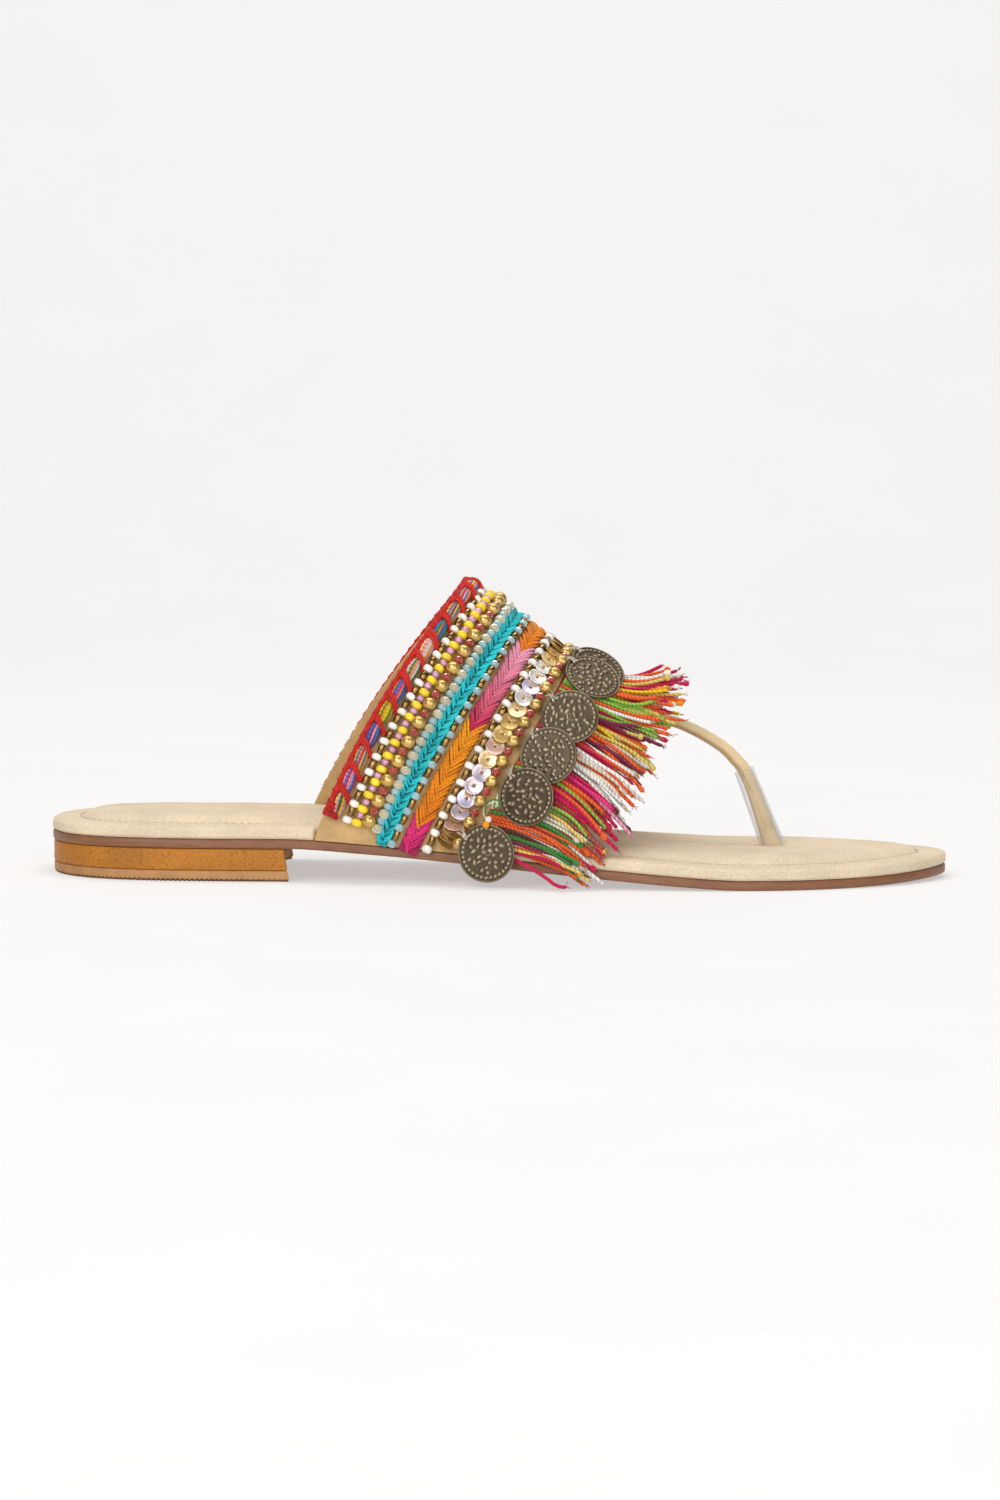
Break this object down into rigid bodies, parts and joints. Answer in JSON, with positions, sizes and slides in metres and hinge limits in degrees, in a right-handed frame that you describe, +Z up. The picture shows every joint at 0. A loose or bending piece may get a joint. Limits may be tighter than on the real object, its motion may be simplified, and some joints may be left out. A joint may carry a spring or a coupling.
{
  "type": "toe-post sandal",
  "caption": "Low-heeled toe-post mule with a beaded, embroidered instep band, a row of stamped metal discs and a thread fringe; right foot.",
  "frame": {"origin": "middle of the heel's underside, on the floor", "axes": "+X from heel to toe, +Y to the inner side of the foot, +Z up from the floor"},
  "size_m": [0.25, 0.0859, 0.0822],
  "materials": {
    "outsole_leather": "smooth, waxed",
    "heel_leather": "stacked, matt",
    "lift_rubber": "matt, ribbed edge",
    "insole_suede": "suede",
    "band_suede": "faux suede",
    "strap_leather": "rolled, satin",
    "clear_plastic": "clear",
    "coin_brass": "antiqued, stamped",
    "fringe_thread": "twisted cotton thread",
    "red_thread": "whipped cord",
    "teal_thread": "braid",
    "orange_thread": "embroidery",
    "white_glass": "bead",
    "yellow_glass": "bead",
    "blue_glass": "bead",
    "gold_bead": "metallised bead"
  },
  "bodies": {
    "root": {"outsole": "outsole_leather", "top_lift": "lift_rubber", "heel_block": "heel_leather", "insole": "insole_suede", "upper_band": "band_suede", "trim_cord": "red_thread", "row_white_bugle": "white_glass", "row_yellow_lilac": "yellow_glass", "row_gold_red": "gold_bead", "row_clear_blue": "blue_glass", "row_teal_braid": "teal_thread", "row_blue_bugle": "blue_glass", "row_leaf_stitch": "orange_thread", "row_white_bugle_front": "white_glass", "row_sequins": "gold_bead", "row_gold_front": "gold_bead", "coin_crown": "coin_brass", "coin_top": "coin_brass", "coin_1": "coin_brass", "coin_2": "coin_brass", "coin_3": "coin_brass", "coin_4": "coin_brass", "coin_5": "coin_brass", "coin_6": "coin_brass", "coin_7": "coin_brass", "coin_low_lateral": "coin_brass", "coin_low_medial": "coin_brass", "fringe": "fringe_thread", "toe_strap": "strap_leather", "post_sleeve": "clear_plastic"}
  },
  "joints": []
}
